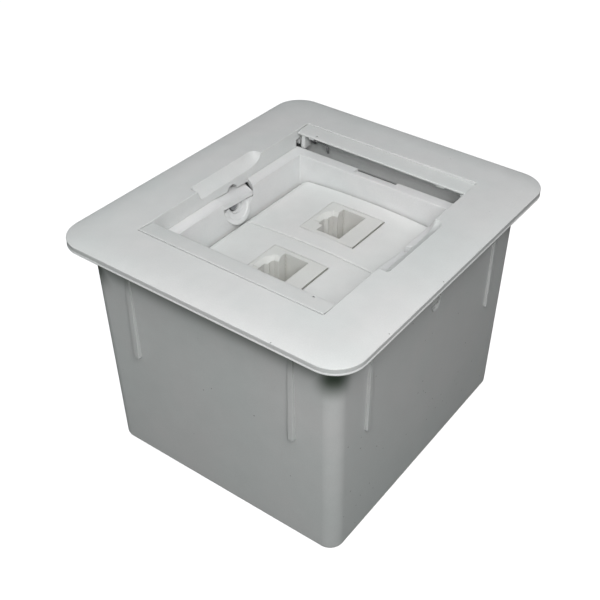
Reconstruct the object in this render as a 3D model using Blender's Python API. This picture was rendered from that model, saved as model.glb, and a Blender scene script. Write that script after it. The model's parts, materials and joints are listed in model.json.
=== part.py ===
"""Flush data outlet box: trim frame with a window, deep bowl, sunken module tray with two jacks,
two sprung cable-exit flaps and two screw-driven clamp jaws.

Frame: origin at the centre of the bowl's underside, X across the box (along the flaps), Y front to
rear, Z up. Dimensions are millimetres; meshes are made in metres. A shape is (points, faces).
"""
import math

import bmesh
import bpy
from mathutils import Matrix, Vector

MM = 0.001
ADD, CUT = "UNION", "DIFFERENCE"
SIDES = (-1, 1)
UP = (0, 0, 1)

# ---------------------------------------------------------------- shared dimensions
Z_TOP = 65.3                        # top plane of the flange around the window
WIN_X, WIN_Y, WIN_R = 26.2, 32.97, 0.8      # window half sizes and corner radius
BOX_WALL, BOX_TOP_Z = 1.8, 63.0
ENTRY_Z, ENTRY_R = 16.0, 6.0        # round cable entry in the bowl's rear wall
HOOK_XS = (-14.0, 14.0)             # the frame's hooked legs and the bowl's catches
TRAY_X = 22.8                       # half width inside the tray
EARS = [(side * 30.0, y) for side in SIDES for y in (-20.0, 18.5)]     # tray screw places

# hinge axes, with the rear flap hanging a little low and crooked in its sockets
HINGE_Y, HINGE_Z = 31.3, 62.4
REAR_DROP, REAR_TILT = 0.35, math.radians(0.5)
REAR_TURN, FRONT_TURN = math.radians(-2.0), math.radians(2.5)   # positive lowers the inner edge

# each clamp screw's axis slopes down and outwards from the dish in the tray's side wall
CLAMP_Y, CLAMP_Z, CLAMP_TILT = -1.2, 57.5, math.radians(20.0)


# ---------------------------------------------------------------- shapes
def rounded(half_x, half_y, radius, z, centre_y=0.0, segments=5):
    """Counter-clockwise rounded rectangle, with the given segments in each corner."""
    points = []
    for quad_x, quad_y, start in ((1, 1, 0), (-1, 1, 90), (-1, -1, 180), (1, -1, 270)):
        for i in range(segments + 1):
            angle = math.radians(start + 90 * i / segments)
            points.append((quad_x * (half_x - radius) + radius * math.cos(angle),
                           centre_y + quad_y * (half_y - radius) + radius * math.sin(angle), z))
    return points


def loft(rings, loop=False):
    """Skin through rings of equal count. loop joins last to first; otherwise both ends are capped."""
    count = len(rings[0])
    points = [point for ring in rings for point in ring]
    faces = []
    for k in range(len(rings) if loop else len(rings) - 1):
        low, high = k * count, ((k + 1) % len(rings)) * count
        faces += [(low + i, low + (i + 1) % count, high + (i + 1) % count, high + i)
                  for i in range(count)]
    if not loop:
        faces += [tuple(range(count)), tuple(range(len(points) - count, len(points)))]
    return points, faces


def extrude(outline, axis, start, end):
    """Outline across axis ('x': (y, z) points; 'y': (x, z); 'z': (x, y)), drawn out along it."""
    def place(point, along):
        return {"x": (along, *point), "y": (point[0], along, point[1]), "z": (*point, along)}[axis]
    return loft([[place(point, along) for point in outline] for along in sorted((start, end))])


def block(x0, x1, y0, y1, z0, z1):
    """Box between two values on each axis; x and y may be given in either order."""
    x0, x1 = sorted((x0, x1))
    y0, y1 = sorted((y0, y1))
    return extrude([(x0, y0), (x1, y0), (x1, y1), (x0, y1)], "z", z0, z1)


def turned(profile, origin, direction, segments=20):
    """Solid of revolution from (distance along the axis, radius) pairs."""
    axis = Vector(direction).normalized()
    across = axis.orthogonal().normalized()
    other = axis.cross(across)
    angles = [2 * math.pi * i / segments for i in range(segments)]
    rings = []
    for distance, radius in profile:
        centre = Vector(origin) + axis * distance
        rings.append([tuple(centre + (across * math.cos(a) + other * math.sin(a)) * radius)
                      for a in angles])
    return loft(rings)


def rod(radius, length, origin, direction, segments=20):
    return turned([(0, radius), (length, radius)], origin, direction, segments)


def wire(path, radius, segments=6):
    """Round wire along a polyline, its section carried without twist from point to point."""
    path = [Vector(point) for point in path]
    across = None
    rings = []
    for i, centre in enumerate(path):
        tangent = (path[min(i + 1, len(path) - 1)] - path[max(i - 1, 0)]).normalized()
        if across is None:
            across = tangent.orthogonal().normalized()
        across = (across - tangent * across.dot(tangent)).normalized()
        other = tangent.cross(across)
        rings.append([tuple(centre + (across * math.cos(a) + other * math.sin(a)) * radius)
                      for a in (2 * math.pi * k / segments for k in range(segments))])
    return loft(rings)


def tongue(width, bottom, top, centre=0.0, segments=10):
    """Upright strip outline with a half-round lower end."""
    half = width / 2
    angles = [-math.pi * i / segments for i in range(segments + 1)]
    return [(centre - half, top), (centre + half, top)] + [
        (centre + half * math.cos(a), bottom + half + half * math.sin(a)) for a in angles]


def sided(side, outline):
    """The outline, mirrored in its first coordinate when side is -1."""
    return [(side * a, b) for a, b in outline]


def group(*shapes):
    """Several shapes that don't touch, as one shape."""
    points, faces = [], []
    for more_points, more_faces in shapes:
        offset = len(points)
        points += list(more_points)
        faces += [tuple(i + offset for i in face) for face in more_faces]
    return points, faces


def mirrored(shape):
    """The shape mirrored across the YZ plane."""
    points, faces = shape
    return [(-x, y, z) for x, y, z in points], faces


def both(shape):
    """The shape and its mirror image."""
    return group(shape, mirrored(shape))


# ---------------------------------------------------------------- objects
def add_object(name, shape):
    """A mesh object from a shape, normals made consistent and outward."""
    points, faces = shape
    mesh = bpy.data.meshes.new(name)
    mesh.from_pydata([tuple(c * MM for c in point) for point in points], [], faces)
    editable = bmesh.new()
    editable.from_mesh(mesh)
    bmesh.ops.recalc_face_normals(editable, faces=editable.faces)
    editable.to_mesh(mesh)
    editable.free()
    piece = bpy.data.objects.new(name, mesh)
    bpy.context.scene.collection.objects.link(piece)
    return piece


def combine(piece, steps):
    """Apply boolean steps (operation, shape) to the piece in turn, keeping its materials."""
    cutters = []
    for operation, shape in steps:
        cutter = add_object(f"{piece.name}_tool", shape)
        modifier = piece.modifiers.new("boolean", "BOOLEAN")
        modifier.operation = operation
        modifier.object = cutter
        modifier.solver = "EXACT"
        cutters.append(cutter)
    bpy.context.view_layer.update()
    graph = bpy.context.evaluated_depsgraph_get()
    result = bpy.data.meshes.new_from_object(piece.evaluated_get(graph))
    materials = list(piece.data.materials)
    piece.modifiers.clear()
    piece.data = result
    result.materials.clear()
    for kept in materials:
        result.materials.append(kept)
    for cutter in cutters:
        bpy.data.objects.remove(cutter)


def solid(name, shape, finish, steps=(), matrix=None, sharp_angle=35):
    """A finished piece: shape, material, boolean steps, place and smooth shading."""
    piece = add_object(name, shape)
    piece.data.materials.append(finish)
    if steps:
        combine(piece, steps)
    if matrix is not None:
        piece.matrix_world = matrix
    piece.data.shade_smooth()
    piece.data.set_sharp_from_angle(angle=math.radians(sharp_angle))


def material(name, color, roughness, metallic=0.0):
    made = bpy.data.materials.new(name)
    made.use_nodes = True
    inputs = made.node_tree.nodes["Principled BSDF"].inputs
    inputs["Base Color"].default_value = (*color, 1.0)
    inputs["Roughness"].default_value = roughness
    inputs["Metallic"].default_value = metallic
    return made


for old in list(bpy.data.objects):
    bpy.data.objects.remove(old)

# ---------------------------------------------------------------- materials
FRAME = material("frame_abs", color=(0.70, 0.73, 0.73), roughness=0.42)
BODY = material("bowl_abs", color=(0.62, 0.64, 0.64), roughness=0.48)
TRAY = material("tray_abs", color=(0.74, 0.76, 0.76), roughness=0.42)
FLAP = material("flap_abs", color=(0.71, 0.74, 0.74), roughness=0.42)
PLATE = material("plate_abs", color=(0.82, 0.82, 0.81), roughness=0.38)
JACK = material("jack_abs", color=(0.78, 0.79, 0.77), roughness=0.42)
GOLD = material("contact_gold", color=(0.85, 0.64, 0.28), roughness=0.25, metallic=1.0)
SPRING = material("spring_steel", color=(0.16, 0.16, 0.17), roughness=0.35, metallic=1.0)
ZINC = material("zinc_steel", color=(0.55, 0.56, 0.58), roughness=0.32, metallic=1.0)
BOARD = material("board_green", color=(0.05, 0.24, 0.12), roughness=0.45)
WHITE = material("block_white", color=(0.75, 0.75, 0.72), roughness=0.45)
CAP = material("cap_clear_grey", color=(0.55, 0.57, 0.58), roughness=0.4)
JAW = material("jaw_nylon", color=(0.30, 0.31, 0.32), roughness=0.55)
RUBBER = material("grommet_rubber", color=(0.06, 0.06, 0.065), roughness=0.75)


# ---------------------------------------------------------------- flap and clamp axes
def flap_matrix(end):
    """The flap's frame: origin on the hinge axis, +Y outwards."""
    if end == "rear":
        return (Matrix.Translation(Vector((0, HINGE_Y, HINGE_Z - REAR_DROP)) * MM)
                @ Matrix.Rotation(REAR_TILT, 4, "Y") @ Matrix.Rotation(REAR_TURN, 4, "X"))
    return (Matrix.Translation(Vector((0, -HINGE_Y, HINGE_Z)) * MM)
            @ Matrix.Rotation(math.pi, 4, "Z") @ Matrix.Rotation(FRONT_TURN, 4, "X"))


def clamp_point(side, distance):
    """A point on the screw axis, measured outwards from the tray's inner wall face."""
    return (side * (TRAY_X + distance * math.cos(CLAMP_TILT)), CLAMP_Y,
            CLAMP_Z - distance * math.sin(CLAMP_TILT))


def clamp_direction(side):
    return (side * math.cos(CLAMP_TILT), 0.0, -math.sin(CLAMP_TILT))


def clamp_turned(side, profile, segments=20):
    return turned(profile, clamp_point(side, 0), clamp_direction(side), segments)


# ---------------------------------------------------------------- trim frame
FLANGE_X, FLANGE_Y, FLANGE_R = 40.5, 45.95, 7.6     # half sizes and corner radius
RIM_DROP, RIM_T = 0.7, 1.4          # the flange crowns down to its rim; height of the edge band
UNDER_Z = Z_TOP - RIM_DROP - RIM_T  # underside of the flange
SEAT_X, SEAT_Y = 36.2, 41.7         # half sizes where the flange's seating band starts
SEAT_STEP = 0.4
SKIRT_T, SKIRT_Z = 1.5, 60.5        # wall around the window, and the height of its lower edge
CURTAIN_Z, CURTAIN_OVER = 56.5, 1.2         # deeper wall behind each flap
SCREW_BOSS_R, PILOT_R, PILOT_H = 2.3, 1.2, 2.6
ARCH_R, ARCH_Y = 2.9, 0.4           # round cut in the skirt's lower edge, each side
SOCKET_R, SOCKET_H, SOCKET_INSET = 0.97, 1.95, 0.7
LEG_HALF = 3.0
# hooked leg: distance out from the middle, z
HOOK_LEG = [(36.6, UNDER_Z + 0.8), (37.8, UNDER_Z + 0.8), (37.8, 56.7), (38.5, 56.6),
            (38.5, 55.9), (37.8, 54.2), (36.6, 54.2)]
SCOOP_Y0, SCOOP_Y1, SCOOP_W, SCOOP_D = -12.4, 12.3, 2.7, 2.7
SCOOP_RISE, SCOOP_CORNER, SCOOP_STEPS = 7.0, 1.9, 6     # the rounded rear end


def scoop():
    """Sloping, slightly hollow pocket in the -X window edge, square in front, rounded behind."""
    # stations: y, share of the width, share of the depth
    stations = [(SCOOP_Y0, 0.5, 0.08), (SCOOP_Y0 + 0.5, 0.85, 0.55),
                (SCOOP_Y0 + 1.1, 1.0, 0.95), (SCOOP_Y0 + 1.6, 1.0, 1.0)]
    for i in range(SCOOP_STEPS + 1):
        reach = math.sin(math.pi / 2 * i / SCOOP_STEPS)
        y = SCOOP_Y1 - SCOOP_RISE + SCOOP_RISE * reach
        depth_share = max(math.sqrt(max(0.0, 1 - reach * reach)), 0.02)
        corner = max(0.0, (y - (SCOOP_Y1 - SCOOP_CORNER)) / SCOOP_CORNER)
        loss = 1 - math.sqrt(max(0.0, 1 - corner * corner))
        stations.append((y, 1 - SCOOP_CORNER / SCOOP_W * loss, depth_share))
    inside = -(WIN_X - 1.0)
    above = Z_TOP + 1
    rings = []
    for y, width_share, depth_share in stations:
        width, depth = SCOOP_W * width_share, SCOOP_D * depth_share
        rings.append([(inside, y, above), (-(WIN_X + width), y, above),
                      (-(WIN_X + width), y, Z_TOP),
                      (-(WIN_X + width * 0.45), y, Z_TOP - 0.66 * depth),
                      (-WIN_X, y, Z_TOP - depth), (inside, y, Z_TOP - depth)])
    return loft(rings)


def hinge_sockets():
    sockets = []
    for end in ("front", "rear"):
        matrix = flap_matrix(end)
        for side in SIDES:
            start = matrix @ (Vector((side * (WIN_X - SOCKET_INSET), 0, 0)) * MM) / MM
            direction = matrix.to_3x3() @ Vector((side, 0, 0))
            sockets.append(rod(SOCKET_R, SOCKET_H, start, direction))
    return group(*sockets)


def make_trim_frame():
    window, flange, seat = (WIN_X, WIN_Y), (FLANGE_X, FLANGE_Y), (SEAT_X, SEAT_Y)
    # section: half sizes, growth, corner radius, z; over the top, round the rim and back below
    section = [
        (window, 0, WIN_R, Z_TOP),
        (window, 5.5, 3.0, Z_TOP - 0.02),
        (flange, -4.2, FLANGE_R - 2.2, Z_TOP - 0.16),
        (flange, -1.6, FLANGE_R - 1.0, Z_TOP - 0.40),
        (flange, -0.35, FLANGE_R - 0.3, Z_TOP - RIM_DROP + 0.06),
        (flange, 0, FLANGE_R, Z_TOP - RIM_DROP - 0.3),
        (flange, 0, FLANGE_R, UNDER_Z + 0.25),
        (flange, -0.25, FLANGE_R - 0.25, UNDER_Z),
        (seat, 0, 4.4, UNDER_Z),
        (seat, -0.2, 4.2, UNDER_Z + SEAT_STEP),
        (window, SKIRT_T, WIN_R + 1.0, UNDER_Z + SEAT_STEP),
        (window, SKIRT_T, WIN_R + 1.0, SKIRT_Z),
        (window, 0, WIN_R, SKIRT_Z),
    ]
    rings = [rounded(half_x + grow, half_y + grow, radius, z)
             for (half_x, half_y), grow, radius, z in section]
    curtain_x = WIN_X + CURTAIN_OVER
    curtains = group(*[block(-curtain_x, curtain_x, side * WIN_Y, side * (WIN_Y + SKIRT_T),
                             CURTAIN_Z, UNDER_Z + 0.6) for side in SIDES])
    bosses = group(*[rod(SCREW_BOSS_R, UNDER_Z + 0.8 - SKIRT_Z, (x, y, SKIRT_Z), UP)
                     for x, y in EARS])
    legs = group(*[extrude(sided(side, HOOK_LEG), "x", x - LEG_HALF, x + LEG_HALF)
                   for side in SIDES for x in HOOK_XS])
    pilots = group(*[rod(PILOT_R, PILOT_H, (x, y, SKIRT_Z - 0.6), UP) for x, y in EARS])
    arch = rod(ARCH_R, 3.2, (-WIN_X - 2.2, ARCH_Y, SKIRT_Z - 1.7), (1, 0, 0), 28)
    solid("trim_frame", loft(rings, loop=True), FRAME, [
        (ADD, curtains), (ADD, bosses), (ADD, legs), (CUT, pilots), (CUT, scoop()),
        (CUT, mirrored(scoop())), (CUT, both(arch)), (CUT, hinge_sockets())])


# ---------------------------------------------------------------- bowl
BOX_TOP_X, BOX_TOP_Y, BOX_BOT_X, BOX_BOT_Y = 35.1, 40.8, 34.4, 39.1     # outer half sizes
BOX_R, BOX_FLOOR = 3.8, 2.0
BOX_EDGE = [(0.0, 1.2), (0.09, 0.74), (0.35, 0.35), (0.74, 0.09), (1.2, 0.0)]   # z, inset
RIB_X, RIB_Y, RIB_W, RIB_Z = 23.3, 28.0, 1.9, 33.7
RIB_FACE_X, RIB_FACE_Y = 35.4, 40.86        # upright outer faces on the drafted walls
U_SLOT_W, U_SLOT_Z = 4.0, 49.8
# catch: distance out from the middle, z
CATCH = [(38.05, 58.2), (38.05, 57.0), (39.6, 57.0), (39.6, 59.2)]
CATCH_HALF = 2.5


def box_half(z):
    """Outer half sizes of the drafted bowl at height z."""
    share = z / BOX_TOP_Z
    return (BOX_BOT_X + (BOX_TOP_X - BOX_BOT_X) * share,
            BOX_BOT_Y + (BOX_TOP_Y - BOX_BOT_Y) * share)


def box_ring(z, inset, radius):
    half_x, half_y = box_half(z)
    return rounded(half_x - inset, half_y - inset, radius, z, segments=7)


def make_box_body():
    rings = [box_ring(z, inset, BOX_R - inset * 0.6) for z, inset in BOX_EDGE + [(BOX_TOP_Z, 0.0)]]
    rings += [box_ring(z, BOX_WALL, BOX_R - BOX_WALL) for z in (BOX_TOP_Z, BOX_FLOOR)]
    ribs = []
    for side in SIDES:
        for axis, spread, root, face in (("x", RIB_Y, BOX_TOP_X - 1.2, RIB_FACE_X),
                                         ("y", RIB_X, BOX_TOP_Y - 1.6, RIB_FACE_Y)):
            for centre in (-spread, spread):
                outline = tongue(RIB_W, RIB_Z, BOX_TOP_Z - 0.6, centre)
                ribs.append(extrude(outline, axis, side * root, side * face))
    u_slot = extrude(tongue(U_SLOT_W, U_SLOT_Z, BOX_TOP_Z + 1), "x", 32.0, 37.0)
    catches = group(*[extrude(sided(side, CATCH), "x", x - CATCH_HALF, x + CATCH_HALF)
                      for side in SIDES for x in HOOK_XS])
    entry = rod(ENTRY_R, 6, (0, 36.5, ENTRY_Z), (0, 1, 0), 28)
    solid("box_body", loft(rings), BODY, [
        (ADD, group(*ribs)), (ADD, catches), (CUT, both(u_slot)), (CUT, entry)])


# ---------------------------------------------------------------- module tray
LEDGE_Z, LEDGE_T, LEDGE_X, LEDGE_Y = 60.3, 1.7, 29.3, 28.3      # top, thickness, half sizes
LEDGE_UNDER = LEDGE_Z - LEDGE_T
TRAY_CY, TRAY_Y, TRAY_WALL, TRAY_BOT = -0.9, 25.4, 1.3, 47.5
TRAY_DRAFT = 0.45                   # the end walls lean in this much from the ledge down
RAIL_X, RAIL_TOP = 21.4, 49.0       # inner face and top of the rail along each side wall
EAR_X0, EAR_X1, EAR_HALF, EAR_HOLE_R = 28.6, 32.3, 2.5, 1.35
FINGER_Y0, FINGER_Y1 = -6.1, 7.2
FINGER_X0, FINGER_X1 = -25.75, -22.25
FINGER_TOP = LEDGE_Z - 0.75         # at its rear end
# side view of the finger: y, z
FINGER = [(FINGER_Y0 - 0.8, LEDGE_Z - 0.05), (FINGER_Y1 - 0.6, FINGER_TOP),
          (FINGER_Y1 - 0.6, FINGER_TOP - 1.0), (FINGER_Y0 - 0.8, 58.75)]
RELIEF_X, RELIEF_D = 6.2, 0.8       # shallow cut in the middle of the ledge's front and rear
DISH_R, BOSS_R = 5.3, 4.0
# along the screw axis: distance, radius
BOSS = [(0.8, BOSS_R + 1.2), (3.0, BOSS_R + 0.6), (5.0, BOSS_R)]
DISH = [(-4.0, DISH_R + 1.6), (0.35, DISH_R - 0.5), (1.0, 3.9), (1.25, 3.0), (2.1, 1.75),
        (4.0, 1.7)]
SHANK_HOLE = [(3.5, 1.1), (6.0, 1.1)]


def make_tray():
    wall_x, wall_y = TRAY_X + TRAY_WALL, TRAY_Y + TRAY_WALL
    rings = [
        rounded(TRAY_X + 0.08, TRAY_Y + TRAY_DRAFT, 0.3, LEDGE_Z, TRAY_CY),
        rounded(LEDGE_X, LEDGE_Y, 1.0, LEDGE_Z),
        rounded(LEDGE_X, LEDGE_Y, 1.0, LEDGE_UNDER),
        rounded(wall_x, wall_y + 0.2, 2.0, LEDGE_UNDER, TRAY_CY),
        rounded(wall_x, wall_y, 2.0, TRAY_BOT, TRAY_CY),
        rounded(TRAY_X, TRAY_Y, 0.3, TRAY_BOT, TRAY_CY),
    ]
    rail = block(RAIL_X, TRAY_X + 0.4, TRAY_CY - TRAY_Y - 0.4, TRAY_CY + TRAY_Y + 0.4,
                 TRAY_BOT + 0.1, RAIL_TOP)
    ears = group(*[block(math.copysign(EAR_X0, x), math.copysign(EAR_X1, x),
                         y - EAR_HALF, y + EAR_HALF, LEDGE_UNDER + 0.05, LEDGE_Z - 0.05)
                   for x, y in EARS])
    bosses, dishes, shanks = [group(*[clamp_turned(side, profile, segments) for side in SIDES])
                              for profile, segments in ((BOSS, 24), (DISH, 28), (SHANK_HOLE, 16))]
    # ledge and wall are cut away around a spring finger that hangs from the notch's front end
    notch = block(-LEDGE_X + 0.9, -20.0, FINGER_Y0, FINGER_Y1, 58.1, 70.0)
    finger = extrude(FINGER, "x", FINGER_X0, FINGER_X1)
    holes = group(*[rod(EAR_HOLE_R, 4, (x, y, 57.5), UP, 16) for x, y in EARS])
    relief = group(*[block(-RELIEF_X, RELIEF_X, y0, y1, LEDGE_Z - RELIEF_D, LEDGE_Z + 1)
                     for y0, y1 in ((26.2, 30.0), (-30.6, -27.7))])
    solid("module_tray", loft(rings, loop=True), TRAY, [
        (ADD, both(rail)), (ADD, ears), (ADD, bosses), (CUT, both(notch)), (ADD, both(finger)),
        (CUT, dishes), (CUT, shanks), (CUT, holes), (CUT, relief)])


# ---------------------------------------------------------------- flaps, in the hinge frame
FLAP_TOP = Z_TOP - HINGE_Z
FLAP_X, FLAP_IN, FLAP_OUT, FLAP_T = 25.6, -3.4, 1.4, 1.2
FLAP_EDGE_Z = FLAP_TOP - 0.5        # the top slopes down to the inner edge
FLAP_EDGE_T = 0.55                  # thickness at the inner edge
LEG_X0, LEG_X1, LEG_Z = 24.0, 25.2, -2.3
# side views: y, z
FLAP_PLATE = [(FLAP_IN, FLAP_EDGE_Z), (FLAP_IN, FLAP_EDGE_Z - FLAP_EDGE_T),
              (-1.6, FLAP_TOP - FLAP_T), (FLAP_OUT, FLAP_TOP - FLAP_T),
              (FLAP_OUT, FLAP_TOP - 0.5), (FLAP_OUT - 0.16, FLAP_TOP - 0.15),
              (FLAP_OUT - 0.55, FLAP_TOP)]
FLAP_LEG = [(-2.65, FLAP_TOP - 0.75), (-2.65, LEG_Z), (0.2, LEG_Z), (1.25, 0.2),
            (1.25, FLAP_TOP - FLAP_T + 0.05)]
STUB_X, STUB_R, STUB_H = 24.5, 0.9, 2.35
SPIGOT_X, SPIGOT_R, SPIGOT_H = -24.4, 0.8, 3.3
NUB_X, NUB_Y, NUB = 19.4, -2.35, [(0, 0.95), (1.25, 0.8)]       # NUB: distance down, radius
EDGE_NOTCH_R = 0.45


def make_flap(end):
    leg = extrude(FLAP_LEG, "x", LEG_X0, LEG_X1)
    # stub axles run out from both legs; the spring's spigot runs in from the -X leg
    stub = rod(STUB_R, STUB_H, (STUB_X, 0, 0), (1, 0, 0))
    other_stub = rod(STUB_R, STUB_H, (-STUB_X, 0, 0), (-1, 0, 0))
    spigot = rod(SPIGOT_R, SPIGOT_H, (SPIGOT_X, 0, 0), (1, 0, 0), 16)
    nubs = group(*[turned(NUB, (side * NUB_X, NUB_Y, FLAP_TOP - 0.9), (0, 0, -1), 14)
                   for side in SIDES])
    notch = rod(EDGE_NOTCH_R, 2, (-NUB_X, FLAP_IN, FLAP_EDGE_Z - 0.5), UP, 12)
    solid(f"flap_{end}", extrude(FLAP_PLATE, "x", -FLAP_X, FLAP_X), FLAP, [
        (ADD, both(leg)), (ADD, group(stub, other_stub)), (ADD, spigot), (ADD, nubs),
        (CUT, notch)], flap_matrix(end))


# ---------------------------------------------------------------- flap springs
WIRE_R = 0.21
COIL_X, COIL_R, COIL_PITCH = -23.55, 1.22, 0.56
COIL_START = math.radians(110)
COIL_STEPS, STEPS_PER_TURN = 45, 12
ARM_UNDER_PLATE = [(COIL_X, -3.0, 0.55), (COIL_X, -1.8, 0.75), (COIL_X, -0.9, 1.05)]
# free arm, along X and then down: x beyond the coil's end, y, z
FREE_ARM = [(0.5, -1.05, 0.45), (1.2, -1.1, 0.25), (2.4, -1.1, 0.1), (2.8, -1.12, -0.2),
            (3.1, -1.15, -1.2), (3.3, -1.15, -2.5)]


def make_spring(end):
    """Torsion spring around the spigot, in the flap's frame."""
    path = list(ARM_UNDER_PLATE)
    for i in range(COIL_STEPS + 1):
        angle = COIL_START - 2 * math.pi * i / STEPS_PER_TURN
        path.append((COIL_X + COIL_PITCH * i / STEPS_PER_TURN,
                     COIL_R * math.cos(angle), COIL_R * math.sin(angle)))
    coil_end = path[-1][0]
    path += [(coil_end + x, y, z) for x, y, z in FREE_ARM]
    solid(f"flap_spring_{end}", wire(path, WIRE_R), SPRING,
          matrix=flap_matrix(end), sharp_angle=60)


# ---------------------------------------------------------------- module plates
CROWN_Z, CROWN_R, CROWN_END = 54.2, 220.0, 4.2      # wide arc, and the radius of its end rolls
PLATE_X, PLATE_T, PLATE_BOT, PLATE_END_T = 22.6, 1.4, 49.3, 1.2
ROLL_X = PLATE_X + 0.1 - CROWN_END  # where the end roll starts
ROLL_INSETS = (0, 0.25, 0.7, 1.3, 2.1, 3.0)         # points on the roll, in from the plate's side
ARC_STEPS = 10
PLATE_SPANS = {"front": (-26.15, -1.0), "rear": (-0.8, 24.35)}
JACK_Y = {"front": -13.3, "rear": 11.5}
JACK_X0, JACK_X1, JACK_HALF, JACK_TOP = -7.5, 8.3, 7.3, 54.1
JACK_GAP, JACK_GAP_RIGHT = 0.12, 0.47


def crown(x, inset=0.0):
    """Height at x of the crowned face, or of the face that lies inset within it."""
    if abs(x) <= ROLL_X:
        return CROWN_Z - CROWN_R + math.sqrt((CROWN_R - inset) ** 2 - x * x)
    roll_z = CROWN_Z - CROWN_R + math.sqrt(CROWN_R ** 2 - ROLL_X ** 2) - CROWN_END
    return roll_z + math.sqrt(max(0.04, (CROWN_END - inset) ** 2 - (abs(x) - ROLL_X) ** 2))


def make_plate(end):
    y0, y1 = PLATE_SPANS[end]
    roll = [PLATE_X - inset for inset in ROLL_INSETS]
    arc = [ROLL_X - 2 * ROLL_X * i / ARC_STEPS for i in range(ARC_STEPS + 1)]
    stops = roll + arc + [-x for x in reversed(roll)]
    outer = [(PLATE_X, PLATE_BOT)] + [(x, crown(x)) for x in stops] + [(-PLATE_X, PLATE_BOT)]
    inner_x = PLATE_X - PLATE_T
    shrink = inner_x / PLATE_X
    inner = [(inner_x, PLATE_BOT - 1)]
    inner += [(x * shrink, crown(x * shrink, PLATE_T)) for x in stops]
    inner += [(-inner_x, PLATE_BOT - 1)]
    reach = JACK_HALF + JACK_GAP
    aperture = block(JACK_X0 - JACK_GAP, JACK_X1 + JACK_GAP_RIGHT,
                     JACK_Y[end] - reach, JACK_Y[end] + reach, 48, 58)
    solid(f"module_plate_{end}", extrude(outer, "y", y0, y1), PLATE, [
        (CUT, extrude(inner, "y", y0 + PLATE_END_T, y1 - PLATE_END_T)), (CUT, aperture)])


# ---------------------------------------------------------------- jacks
JACK_CX = (JACK_X0 + JACK_X1) / 2
JACK_BOT, PORT_Z = 36.0, 41.0
# half of the port's stepped outline: x, distance from the jack's middle
PORT_HALF = [(3.65, 5.95), (-3.3, 5.95), (-3.3, 3.05), (-4.55, 3.05), (-4.55, 1.6), (-5.8, 1.6)]
CONTACTS, CONTACT_PITCH, CONTACT_HALF = 8, 1.02, 0.22
# side view of a contact: x, z
CONTACT = [(3.1, 40.2), (3.1, 50.2), (2.75, 50.75), (2.3, 50.5), (2.3, 49.9), (2.62, 50.1),
           (2.7, 49.9), (2.7, 40.2)]
WIRE_SLOTS, WIRE_PITCH = 4, 3.2     # on each side


def jack_block(end, x0, x1, half_y, z0, z1):
    """A block centred on the jack in Y."""
    return block(x0, x1, JACK_Y[end] - half_y, JACK_Y[end] + half_y, z0, z1)


def wire_slots(end, inner, outer, half_width, z0, z1):
    """A row of cutters on each side, from inner to outer distance off the jack's middle."""
    slots = []
    for side in SIDES:
        for k in range(WIRE_SLOTS):
            y = JACK_Y[end] + (k - (WIRE_SLOTS - 1) / 2) * WIRE_PITCH
            slots.append(block(JACK_CX + side * inner, JACK_CX + side * outer,
                               y - half_width, y + half_width, z0, z1))
    return group(*slots)


def make_jack_housing(end):
    shoulders = group(jack_block(end, JACK_X0 - 1.3, JACK_X0 + 0.4, 5, 47.6, 51.7),
                      jack_block(end, JACK_X1 - 0.4, JACK_X1 + 1.2, 4, 47.6, 51.4))
    outline = PORT_HALF + [(x, -y) for x, y in reversed(PORT_HALF)]
    port = extrude([(x, JACK_Y[end] + y) for x, y in outline], "z", PORT_Z, JACK_TOP + 2)
    slot = jack_block(end, 1.6, 3.5, 4.8, 34.0, PORT_Z + 1)
    solid(f"jack_housing_{end}", jack_block(end, JACK_X0, JACK_X1, JACK_HALF, JACK_BOT, JACK_TOP),
          JACK, [(ADD, shoulders), (CUT, port), (CUT, slot)])


def make_jack_contacts(end):
    """Carrier bar in the housing's slot, with a row of contacts standing up into the port."""
    prongs = []
    for k in range(CONTACTS):
        y = JACK_Y[end] + (k - (CONTACTS - 1) / 2) * CONTACT_PITCH
        prongs.append(extrude(CONTACT, "y", y - CONTACT_HALF, y + CONTACT_HALF))
    solid(f"jack_contacts_{end}", jack_block(end, 1.85, 3.25, 4.55, 36.2, 40.6), GOLD,
          [(ADD, group(*prongs))])


def make_jack(end):
    """Housing and contacts, with the board, wiring block and wire cap stacked below."""
    make_jack_housing(end)
    make_jack_contacts(end)
    solid(f"jack_board_{end}", jack_block(end, -7.0, 7.9, 6.9, 34.4, 35.7), BOARD)
    solid(f"jack_wiring_block_{end}", jack_block(end, -6.6, 7.4, 7.0, 27.6, 34.1), WHITE,
          [(CUT, wire_slots(end, 3.4, 8.0, 0.35, 26.6, 32.2))])
    solid(f"jack_wire_cap_{end}", jack_block(end, -7.2, 8.0, 7.1, 24.4, 27.3), CAP,
          [(CUT, wire_slots(end, 5.2, 9.0, 0.7, 25.6, 28.0))])


# ---------------------------------------------------------------- clamps
# along the screw axis: distance, radius
CLAMP_HEAD = 1.75                   # where the screw's head starts
CLAMP_SCREW = [(CLAMP_HEAD, 0.9), (1.95, 1.35), (2.4, 1.55), (3.75, 1.55), (3.76, 0.98),
               (9.9, 0.98), (10.3, 0.6)]
JAW_BORE = [(3, 1.08), (16, 1.08)]
JAW_X0, JAW_X1, JAW_HALF = 28.6, 30.35, 3.5
ARM_X0, ARM_X1, ARM_RISE = JAW_X0 + 0.5, 34.75, 1.9     # ARM_RISE: half height about the axis
TEETH, TOOTH_PITCH, TOOTH_DEPTH, TOOTH_ROOT = 3, 1.25, 0.45, 0.62


def make_clamp_screw(side, name):
    # driver slot across the head, turned from upright to the screw axis
    turn = Vector(UP).rotation_difference(Vector(clamp_direction(side)))
    head = Vector(clamp_point(side, CLAMP_HEAD))
    points, faces = block(-0.22, 0.22, -2, 2, -0.6, 0.6)
    slot = [tuple(head + turn @ Vector(point)) for point in points], faces
    solid(f"clamp_screw_{name}", clamp_turned(side, CLAMP_SCREW), ZINC, [(CUT, slot)])


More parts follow.
